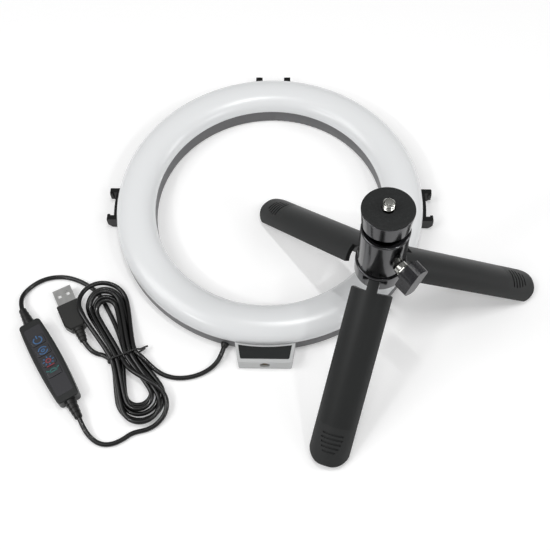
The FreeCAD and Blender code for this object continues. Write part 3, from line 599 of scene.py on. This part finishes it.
@dataclass
class UsbLead:
    """The free cord: two lengths between gland, controller and plug, wound into one tied hank."""

    packed: Packed
    radius: float = 1.5
    tie_at: tuple[float, float] = (-88.3, -108.0)
    tie_heading: float = 116.0
    floor_z: float = 1.5
    low_z: float = 2.9
    high_z: float = 5.8
    lead_route: tuple = (
        (-26.0, -101.3, 4.2), (-27.6, -107.2, 4.0), (-31.5, -113.0, 2.4), (-38.5, -117.8, 1.5),
        (-46.6, -120.6, 1.5), (-55.0, -121.2, 1.5), (-63.0, -119.2, 1.5), (-69.6, -114.9, 2.4),
        (-75.2, -109.9, 4.5), (-79.5, -106.5, 5.6))
    lower_tail_route: tuple = (
        (-111.1, -148.3, 4.5), (-108.2, -153.8, 3.9), (-104.0, -159.2, 2.3), (-98.0, -163.3, 1.5),
        (-90.8, -163.6, 1.5), (-84.2, -160.5, 1.5), (-78.6, -156.0, 1.5), (-73.6, -152.4, 1.5))
    upper_tail_route: tuple = (
        (-157.3, -76.9, 4.5), (-159.3, -71.6, 4.0), (-159.2, -65.2, 2.4), (-155.4, -59.3, 1.5),
        (-149.0, -54.3, 1.5), (-140.9, -51.7, 1.5), (-132.2, -51.7, 1.5), (-124.4, -54.1, 1.5),
        (-117.6, -57.6, 1.5), (-112.5, -61.2, 1.5))
    plug_lead_route: tuple = (
        (-114.6, -98.2, 3.9), (-111.2, -102.6, 3.0), (-106.6, -105.6, 1.9), (-101.2, -106.4, 1.5))

    def in_hank(self, along: float, across: float, height: float) -> Vector:
        """A place given in the hank's own axes, whose origin is the tie.

        Args:
            along: towards the plug's end of the hank.
            across: towards the ring.
            height: above the floor.

        Returns:
            The place in the frame's axes.
        """
        turn = Matrix.Rotation(math.radians(self.tie_heading), 3, "Z")
        spot = turn @ Vector((along, -across, height))
        return self.packed.on_ring(spot.x + self.tie_at[0], spot.y + self.tie_at[1], spot.z)

    def waist(self, across: float, height: float) -> list[Vector]:
        """Where a strand passes through the tie.

        Args:
            across: its place across the hank.
            height: its height.

        Returns:
            One route point.
        """
        return [self.in_hank(0.0, across, height)]

    def turn(self, way: int, start: float, end: float, waist_z: float, lobe: Lobe) -> list[Vector]:
        """Route points from the tie out along one side of a lobe, round its fold, and back.

        Args:
            way: 1 for the lobe by the plug, -1 for the other.
            start: place across the waist that the strand comes from.
            end: place across the waist that it goes back to.
            waist_z: its height in the waist.
            lobe: the lobe's sizes.

        Returns:
            The points, without those in the waist.
        """
        middle, half = (lobe.out_side + lobe.back_side) / 2, abs(lobe.out_side - lobe.back_side) / 2
        bend_at = lobe.reach - half
        points = []
        for share in (0.22, 0.48, 0.76):
            ease = (share + share * share * (3 - 2 * share)) / 2
            points.append((bend_at * share, start + (lobe.out_side - start) * ease,
                           waist_z + (lobe.out_z - waist_z) * ease))
        for step in range(7):
            angle = math.radians(30 * step)
            side_z, share = (lobe.out_z, step / 3) if step <= 3 else (lobe.back_z, (6 - step) / 3)
            points.append((bend_at + half * math.sin(angle),
                           middle + (lobe.out_side - middle) * math.cos(angle),
                           side_z + (lobe.fold_z - side_z) * share))
        for share in (0.76, 0.48, 0.22):
            ease = (share + share * share * (3 - 2 * share)) / 2
            points.append((bend_at * share, end + (lobe.back_side - end) * ease,
                           waist_z + (lobe.back_z - waist_z) * ease))
        return [self.in_hank(way * along, across, height) for along, across, height in points]

    def ring_points(self, route: Iterable[tuple[float, float, float]]) -> list[Vector]:
        """A stretch of route given in the ring's axes, as places in the frame's axes."""
        return [self.packed.on_ring(*point) for point in route]

    def ring_side_route(self) -> list[Vector]:
        """Gland, lead, three turns over the plug's end and two over the other, lower tail, controller."""
        high = self.high_z
        points = self.ring_points(self.lead_route)
        points += self.waist(7.4, high)
        points += self.turn(1, 7.4, -7.4, high, Lobe(15.4, -14.6, 54.6, 1.8, 6.8, 10.2))
        points += self.waist(-7.4, high)
        points += self.turn(-1, -7.4, 4.5, high, Lobe(-13.0, 10.4, 45.5, 4.6, 4.6, 4.6))
        points += self.waist(4.5, high)
        points += self.turn(1, 4.5, -4.5, high, Lobe(10.7, -8.8, 47.5, 4.6, 7.2, 4.6))
        points += self.waist(-4.5, high)
        points += self.turn(-1, -4.5, 1.5, high, Lobe(-9.0, 7.4, 37.0, 4.6, 4.6, 4.6))
        points += self.waist(1.5, high)
        points += self.turn(1, 1.5, -1.5, high, Lobe(7.5, -5.6, 41.0, 4.6, 6.2, 4.6))
        points += self.waist(-1.5, high)
        crossing = (
            (-8.0, -0.6, 6.6), (-14.0, 2.2, 7.6), (-20.0, 6.2, 7.9), (-26.0, 10.4, 7.6), (-31.5, 13.4, 6.2),
            (-36.5, 14.2, 4.8), (-42.0, 12.8, 4.4), (-46.5, 8.6, 3.2), (-49.0, 2.8, 1.9), (-49.6, -3.6, 1.5))
        points += [self.in_hank(*point) for point in crossing]
        return points + self.ring_points(reversed(self.lower_tail_route[:-1]))

    def plug_side_route(self) -> list[Vector]:
        """Controller, upper tail, waist, two turns over the plug's end and three over the other, plug."""
        low = self.low_z
        points = self.ring_points(self.upper_tail_route)
        entry = ((46.0, 0.8, 1.5), (37.0, 1.6, 1.5), (27.0, 2.4, 1.5), (17.0, 2.4, 1.6), (8.0, 1.8, 2.3))
        points += [self.in_hank(*point) for point in entry]
        points += self.waist(1.5, low)
        points += self.turn(-1, 1.5, -1.5, low, Lobe(8.2, -8.4, 33.5, 1.5, 1.5, 1.5))
        points += self.waist(-1.5, low)
        points += self.turn(1, -1.5, 4.5, low, Lobe(-7.1, 9.2, 44.5, 1.5, 4.5, 1.5))
        points += self.waist(4.5, low)
        points += self.turn(-1, 4.5, -4.5, low, Lobe(11.4, -11.5, 39.5, 1.5, 1.5, 1.5))
        points += self.waist(-4.5, low)
        points += self.turn(1, -4.5, 7.5, low, Lobe(-10.3, 12.3, 50.6, 1.5, 4.5, 1.5))
        points += self.waist(7.5, low)
        points += self.turn(-1, 7.5, -7.5, low, Lobe(14.4, -14.5, 43.5, 1.5, 1.5, 1.5))
        points += self.waist(-7.5, low)
        return points + self.ring_points(reversed(self.plug_lead_route))

    def cord(self, name: str, route: Sequence[Vector]) -> bpy.types.Object:
        """A round cord along one smooth spline.

        Args:
            name: the piece's name.
            route: the spline's control points.

        Returns:
            The curve object, riding on the ring.
        """
        curve = bpy.data.curves.new(name, "CURVE")
        curve.dimensions = "3D"
        curve.resolution_u = 10
        curve.bevel_depth = self.radius * MM
        curve.bevel_resolution = 5
        curve.use_fill_caps = True
        spline = curve.splines.new("NURBS")
        spline.points.add(len(route) - 1)
        for point, place in zip(spline.points, route):
            point.co = (*place, 1.0)
        spline.order_u = 3
        spline.use_endpoint_u = True
        curve.materials.append(Finishes.CABLE.value.material())
        piece = bpy.data.objects.new(name, curve)
        bpy.context.scene.collection.objects.link(piece)
        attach(piece, "ring")
        log.info("%s: %d route points", name, len(route))
        return piece

    def tie(self) -> bpy.types.Object:
        """Covered wire round the waist, twisted shut at one side with its ends left standing out."""
        wire = bpy.data.curves.new("tie_path", "CURVE")
        wire.dimensions = "3D"
        wire.bevel_depth = 0.6 * MM
        wire.bevel_resolution = 3
        wire.use_fill_caps = True
        half, low, high = 9.6, 0.75, 8.0
        band = [
            (0.5, half + 6.6, 3.4), (0.4, half + 4.0, 3.8), (0.3, half + 1.2, 3.9), (0.2, half + 0.3, 5.6),
            (0.0, half - 2.2, high), (-0.3, 2.5, high + 0.2), (0.2, -3.5, high + 0.2),
            (0.6, -half + 2.0, high - 0.3), (0.5, -half - 0.5, 5.4), (0.2, -half - 0.5, 2.4),
            (0.0, -half + 2.2, low), (0.0, half - 2.2, low), (-0.4, half + 0.3, 2.2),
            (-0.9, half + 1.4, 3.6), (-1.3, half + 3.0, 4.6), (-1.0, half + 4.6, 5.0)]
        spline = wire.splines.new("NURBS")
        spline.points.add(len(band) - 1)
        for point, place in zip(spline.points, band):
            point.co = (*self.in_hank(*place), 1.0)
        spline.order_u = 3
        spline.use_endpoint_u = True
        path = bpy.data.objects.new("tie_path", wire)
        mesh = bpy.data.meshes.new_from_object(path)
        mesh.name = "tie_wire"
        bpy.data.objects.remove(path)
        mesh.shade_smooth()
        piece = put("tie_wire", mesh, Finishes.TIE, "ring")
        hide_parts("hank_tie")
        return piece

    def build(self) -> None:
        """Makes both cords and the tie, and says what they are."""
        tie = self.tie()
        ring_side, plug_side = self.ring_side_route(), self.plug_side_route()
        first = self.cord("cord_ring_to_controller", ring_side)
        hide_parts("cable_lead", "cable_lower_tail", "cable_hank")
        second = self.cord("cord_controller_to_plug", plug_side)
        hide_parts("cable_upper_tail", "cable_plug_lead")


# ---------------------------------------------------------------- controller
@dataclass
class Controller:
    """Symbols on the four keys of the inline controller."""

    packed: Packed
    heading: float = 122.9
    stroke: float = 0.55
    symbol_height: float = 0.06
    symbol_wide: float = 1.45
    symbol_tall: float = 1.2

    def stamp(self, shape: bmesh.types.BMesh, parts: Iterable[tuple]) -> None:
        """Adds arcs to a flat symbol.

        Args:
            shape: the symbol's bmesh.
            parts: (centre x, centre y, radius, first angle, last angle) of each arc, in mm and degrees.
        """
        for x, y, radius, first, last in parts:
            width = self.stroke / 2
            profile = [shape.verts.new((x + reach, y, 0)) for reach in (radius - width, radius + width)]
            edge = shape.edges.new(profile)
            turn = Matrix.Rotation(math.radians(first), 3, "Z")
            bmesh.ops.rotate(shape, verts=profile, cent=(x, y, 0), matrix=turn)
            bmesh.ops.spin(shape, geom=[*profile, edge], cent=(x, y, 0), axis=(0, 0, 1),
                           use_merge=last - first >= 360, angle=math.radians(last - first), steps=24)

    def bars(self, shape: bmesh.types.BMesh, parts: Iterable[tuple]) -> None:
        """Adds straight strokes to a flat symbol.

        Args:
            shape: the symbol's bmesh.
            parts: (middle x, middle y, length, angle) of each stroke, in millimetres and degrees.
        """
        for x, y, length, angle in parts:
            place = Matrix.Translation((x, y, 0)) @ Matrix.Rotation(math.radians(angle), 4, "Z")
            size = Matrix.Diagonal((length, self.stroke, 1.0, 1.0))
            bmesh.ops.create_grid(shape, x_segments=1, y_segments=1, size=0.5, matrix=place @ size)

    def symbol(self, key: str, name: str, finish: Finishes, arcs: Sequence[tuple],
               bars: Sequence[tuple]) -> None:
        """Lays one printed symbol on a key's top.

        Args:
            key: the key's node.
            name: the piece's name.
            finish: the ink.
            arcs: arcs for stamp.
            bars: strokes for bars.
        """
        shape = bmesh.new()
        self.stamp(shape, arcs)
        self.bars(shape, bars)
        bmesh.ops.remove_doubles(shape, verts=shape.verts, dist=0.001)
        bmesh.ops.recalc_face_normals(shape, faces=shape.faces)
        for face in shape.faces:
            if face.normal.z < 0:
                face.normal_flip()
        raised = bmesh.ops.extrude_face_region(shape, geom=shape.faces[:])
        lifted = [item for item in raised["geom"] if isinstance(item, bmesh.types.BMVert)]
        bmesh.ops.translate(shape, verts=lifted, vec=(0, 0, self.symbol_height))
        bmesh.ops.recalc_face_normals(shape, faces=shape.faces)
        low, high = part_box(key)
        place = Matrix.Translation(((low.x + high.x) / 2, (low.y + high.y) / 2, high.z - 0.01 * MM))
        upright = Matrix.Rotation(math.radians(self.heading - 90), 4, "Z")
        size = Matrix.Diagonal((self.symbol_wide * MM, self.symbol_tall * MM, MM, 1.0))
        bmesh.ops.transform(shape, verts=shape.verts, matrix=place @ upright @ size)
        piece = put(name, finished(name, shape), finish, self.packed.body_of[key])

    def build(self) -> None:
        """Power ring, colour ring, brighter sun and dimmer sun."""
        blue, teal, red = Finishes.INK_BLUE, Finishes.INK_TEAL, Finishes.INK_RED
        self.symbol("button_power", "symbol_power", blue, [(0, 0, 1.9, 120, 420)], [(0, 1.8, 2.0, 90)])
        self.symbol("button_colour", "symbol_colour", blue,
                    [(0, 0.1, 1.9, 20, 170), (0, -0.1, 1.9, 200, 350), (0, 0, 0.7, 0, 360)], [])
        rays = [(2.1 * math.cos(math.radians(a)), 2.1 * math.sin(math.radians(a)), 0.9, a)
                for a in range(0, 360, 45)]
        self.symbol("button_brighter", "symbol_brighter", blue, [], rays)
        self.symbol("button_brighter", "symbol_brighter_middle", red,
                    [(0, 0, 1.0, 0, 360)], [(0, -3.0, 3.6, 0)])
        self.symbol("button_dimmer", "symbol_dimmer", teal, [(0, 0, 1.5, 0, 180)],
                    [(0, 0, 3.6, 0), (-2.4, 1.2, 1.4, 150), (2.4, 1.2, 1.4, 30)])


# ---------------------------------------------------------------- tripod head
@dataclass
class TripodHead:
    """Camera screw with its thread, and the grained pad, built at the ball's centre and then tilted."""

    packed: Packed
    pad_low: float = 23.7
    pad_thick: float = 1.3
    pad_radius: float = 13.9
    screw_radius: float = 3.175
    neck_radius: float = 2.9
    proud: float = 5.4
    pitch: float = 1.27
    thread_depth: float = 0.5

    def seat(self, shape: bmesh.types.BMesh) -> None:
        """Moves a shape from the ball's centre at the origin, in millimetres, to its place and tilt.

        Args:
            shape: the bmesh to move.
        """
        centre = Vector(self.packed.joint("ball_pan")["pos_m"])
        axis = Vector(self.packed.joint("plate_spin")["axis"])
        tilt = Vector((0, 0, 1)).rotation_difference(axis).to_matrix().to_4x4()
        placed = Matrix.Translation(centre) @ tilt @ Matrix.Scale(MM, 4)
        bmesh.ops.transform(shape, verts=shape.verts, matrix=placed)

    def lathe(self, shape: bmesh.types.BMesh, profile: Sequence[tuple[float, float]], steps: int = 72) -> None:
        """Turns an open profile about Z.

        Args:
            shape: the bmesh to add to.
            profile: (radius, height) from the axis out and back to it.
            steps: how many facets go round.
        """
        points = [shape.verts.new((radius, 0.0, height)) for radius, height in profile]
        edges = [shape.edges.new(pair) for pair in zip(points, points[1:])]
        bmesh.ops.spin(shape, geom=points + edges, cent=(0, 0, 0), axis=(0, 0, 1), angle=math.tau, steps=steps,
                       use_merge=True)
        bmesh.ops.remove_doubles(shape, verts=shape.verts, dist=0.0005)
        bmesh.ops.recalc_face_normals(shape, faces=shape.faces)

    def camera_screw(self) -> None:
        """Screw whose thread is a ridge spun up round its core."""
        shape = bmesh.new()
        low, foot = self.pad_low - 4.5, self.pad_low + self.pad_thick
        top, core = foot + self.proud, self.screw_radius - self.thread_depth
        self.lathe(shape, [(0, low), (core, low), (core, top - 0.9), (core - 0.5, top - 0.1), (core - 0.9, top),
                           (0, top)])
        turns, steps = (self.proud - 0.9) / self.pitch, 40
        half = self.pitch * 0.46
        start = foot + 0.15
        tooth = [(core - 0.15, start - half), (self.screw_radius - 0.06, start - 0.1),
                 (self.screw_radius - 0.06, start + 0.1), (core - 0.15, start + half)]
        points = [shape.verts.new((radius, 0.0, height)) for radius, height in tooth]
        face = shape.faces.new(points)
        count = int(turns * steps)
        bmesh.ops.spin(shape, geom=[face, *face.edges, *points], cent=(0, 0, 0), axis=(0, 0, 1),
                       dvec=(0, 0, self.pitch / steps), angle=math.tau * count / steps, steps=count)
        bmesh.ops.recalc_face_normals(shape, faces=shape.faces)
        self.seat(shape)
        mesh = finished("camera_screw_thread", shape)
        piece = put("camera_screw_thread", mesh, Finishes.STEEL, "camera_plate")
        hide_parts("camera_screw")

    def pad(self) -> None:
        """Rubber disc with a crumbly top."""
        shape = bmesh.new()
        inner, outer, low = self.screw_radius + 0.5, self.pad_radius - 0.05, self.pad_low + 0.05
        top = low + self.pad_thick - 0.1
        rings = 36
        flat = [(inner + (outer - 0.35 - inner) * step / rings, top) for step in range(rings + 1)]
        self.lathe(shape, [(inner, low), *flat, (outer, top - 0.35), (outer, low)], 160)
        for vert in shape.verts:
            reach = math.hypot(vert.co.x, vert.co.y)
            if vert.co.z > top - 0.05 and inner + 0.2 < reach < outer - 0.5:
                grain = noise.noise(vert.co * 1.35) * 0.6 + noise.noise(vert.co * 2.9) * 0.4
                vert.co.z += 0.2 * grain
        self.seat(shape)
        piece = put("pad_grained", finished("pad_grained", shape, 60.0), Finishes.PAD, "camera_plate")
        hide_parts("platform_pad")


# ---------------------------------------------------------------- studio
@dataclass
class Studio:
    """Camera, floor and soft light."""

    packed: Packed
    camera_at: tuple[float, float, float] = (25.0, -301.7, 496.4)
    azimuth: float = 4.6
    elevation: float = 62.87
    roll: float = -3.68
    lens: float = 55.64
    floor_glow: float = 0.22
    horizon: float = 0.1
    zenith: float = 0.42

    def camera(self) -> None:
        """Looks down on the set from in front, turned slightly about its own axis."""
        data = bpy.data.cameras.new("camera")
        data.lens, data.sensor_width = self.lens, 36.0
        data.clip_start, data.clip_end = 0.01, 20.0
        turn, rise = math.radians(self.azimuth), math.radians(self.elevation)
        back = Vector((math.sin(turn) * math.cos(rise), -math.cos(turn) * math.cos(rise), math.sin(rise)))
        right = Vector((0, 0, 1)).cross(back).normalized()
        up = back.cross(right)
        lean = math.radians(self.roll)
        level = right * math.cos(lean) + up * math.sin(lean)
        tall = up * math.cos(lean) - right * math.sin(lean)
        view = bpy.data.objects.new("camera", data)
        axes = Matrix((level, tall, back)).transposed().to_4x4()
        view.matrix_world = Matrix.Translation(self.packed.on_ring(*self.camera_at)) @ axes
        bpy.context.scene.collection.objects.link(view)
        bpy.context.scene.camera = view

    def floor(self) -> None:
        """Pale sheet that the set stands on, lit through a little so that shadows stay faint."""
        shape = bmesh.new()
        bmesh.ops.create_grid(shape, x_segments=8, y_segments=8, size=4.0)
        mesh = finished("floor", shape)
        recipe = Recipe("studio_floor")
        recipe.surface(Base_Color=(0.85, 0.85, 0.85, 1.0), Roughness=0.8, Specular_IOR_Level=0.1,
                       Emission_Color=(1.0, 1.0, 1.0, 1.0), Emission_Strength=self.floor_glow)
        mesh.materials.append(recipe.material)
        sheet = bpy.data.objects.new("floor", mesh)
        bpy.context.scene.collection.objects.link(sheet)

    def softbox(self, name: str, at: Sequence[float], size: Sequence[float], power: float) -> None:
        """Rectangular light aimed at the middle of the set.

        Args:
            name: the light's name.
            at: its place, in metres.
            size: its width and height, in metres.
            power: its power, in watts.
        """
        data = bpy.data.lights.new(name, "AREA")
        data.shape, data.size, data.size_y, data.energy = "RECTANGLE", size[0], size[1], power
        light = bpy.data.objects.new(name, data)
        light.location = at
        light.rotation_euler = (Vector((0, 0, 0.03)) - Vector(at)).to_track_quat("-Z", "Y").to_euler()
        bpy.context.scene.collection.objects.link(light)

    def sky(self) -> None:
        """Glow that is bright overhead and dimmer near the horizon, so that metal shows darker bands."""
        world = bpy.data.worlds.new("studio_glow")
        bpy.context.scene.world = world
        world.use_nodes = True
        tree = world.node_tree
        place = tree.nodes.new("ShaderNodeTexCoord")
        parts = tree.nodes.new("ShaderNodeSeparateXYZ")
        climb = tree.nodes.new("ShaderNodeMapRange")
        climb.inputs["To Min"].default_value, climb.inputs["To Max"].default_value = self.horizon, self.zenith
        tree.links.new(place.outputs["Generated"], parts.inputs[0])
        tree.links.new(parts.outputs[2], climb.inputs[0])
        tree.links.new(climb.outputs[0], tree.nodes["Background"].inputs[1])
        tree.nodes["Background"].inputs[0].default_value = (1.0, 1.0, 1.0, 1.0)

    def build(self) -> None:
        """Sets the whole stage."""
        self.camera()
        self.floor()
        self.sky()
        self.softbox("key_left", (-0.9, -0.1, 1.1), (0.5, 0.9), 6.0)
        self.softbox("fill_right", (1.1, 0.0, 0.8), (0.25, 0.7), 3.5)
        self.softbox("strip_over", (0.05, 0.05, 1.1), (0.3, 0.014), 2.4)
        self.softbox("strip_left", (-0.66, -0.49, 0.84), (0.14, 0.016), 1.3)
        self.softbox("strip_right", (0.57, -0.49, 0.84), (0.14, 0.016), 1.3)
        scene = bpy.context.scene
        scene.view_settings.view_transform = "Standard"
        scene.view_settings.look = "None"


# ---------------------------------------------------------------- whole set
DRESSED_IN_PLACE = {
    "led_carrier": Finishes.WHITE_PLASTIC, "housing_screws": Finishes.STEEL,
    "led_board": Finishes.WHITE_PLASTIC, "led_chips": Finishes.PHOSPHOR, "socket_insert": Finishes.BRASS_IN_PAINTED_SHADE,
    "block_screws": Finishes.STEEL, "controller_board": Finishes.SOLDER_MASK,
    "controller_switches": Finishes.STEEL, "plug_tongue": Finishes.WHITE_PLASTIC,
    "plug_contacts": Finishes.GOLD, "hinge_pins": Finishes.STEEL, "head_stud": Finishes.STEEL,
    "lock_wedge": Finishes.BRASS_IN_PAINTED_SHADE, "ball_seat": Finishes.NYLON, "cable_gland": Finishes.SOFT_BLACK,
    "relief_upper": Finishes.SOFT_BLACK, "relief_lower": Finishes.SOFT_BLACK,
    "controller_base": Finishes.CASE, "controller_cover": Finishes.CASE, "plug_relief": Finishes.PLUG,
    "plug_overmould": Finishes.PLUG, "plug_shell": Finishes.NICKEL}

SKINNED = (
    ("rear_housing", Finishes.HOUSING, 0.0), ("diffuser", Finishes.DIFFUSER, 0.0),
    ("socket_block", Finishes.BLOCK, 0.3), ("socket_window", Finishes.WINDOW, 0.1),
    ("accessory_clip_right", Finishes.CLIP, 0.3), ("accessory_clip_top", Finishes.CLIP, 0.3),
    ("accessory_clip_left", Finishes.CLIP, 0.3), ("controller_label", Finishes.FILM, 0.0),
    ("button_power", Finishes.FILM, 0.0), ("button_colour", Finishes.FILM, 0.0),
    ("button_brighter", Finishes.FILM, 0.0), ("button_dimmer", Finishes.FILM, 0.0),
    ("hub", Finishes.GUNMETAL, 0.3), ("head_barrel", Finishes.GUNMETAL, 0.0),
    ("lock_screw", Finishes.STEEL, 0.2), ("lock_knob", Finishes.KNOB, 0.6),
    ("ball_stem", Finishes.BALL, 0.0), ("platform", Finishes.GUNMETAL, 0.0),
    ("leg_front", Finishes.LEG, 0.5), ("leg_right", Finishes.LEG, 0.5), ("leg_left", Finishes.LEG, 0.5),
    ("foot_front", Finishes.FOOT, 0.4), ("foot_right", Finishes.FOOT, 0.4),
    ("foot_left", Finishes.FOOT, 0.4))


def main() -> None:
    """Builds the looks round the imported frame."""
    logging.basicConfig(level=logging.INFO, format="%(name)s: %(message)s")
    packed = Packed(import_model())
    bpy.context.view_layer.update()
    Studio(packed).build()
    UsbLead(packed).build()
    for node, finish in DRESSED_IN_PLACE.items():
        packed.dress(node, finish)
    for node, finish, bevel in SKINNED:
        packed.reskin(node, finish, bevel)
    Controller(packed).build()
    head = TripodHead(packed)
    head.camera_screw()
    head.pad()


if __name__ == "__main__":
    main()
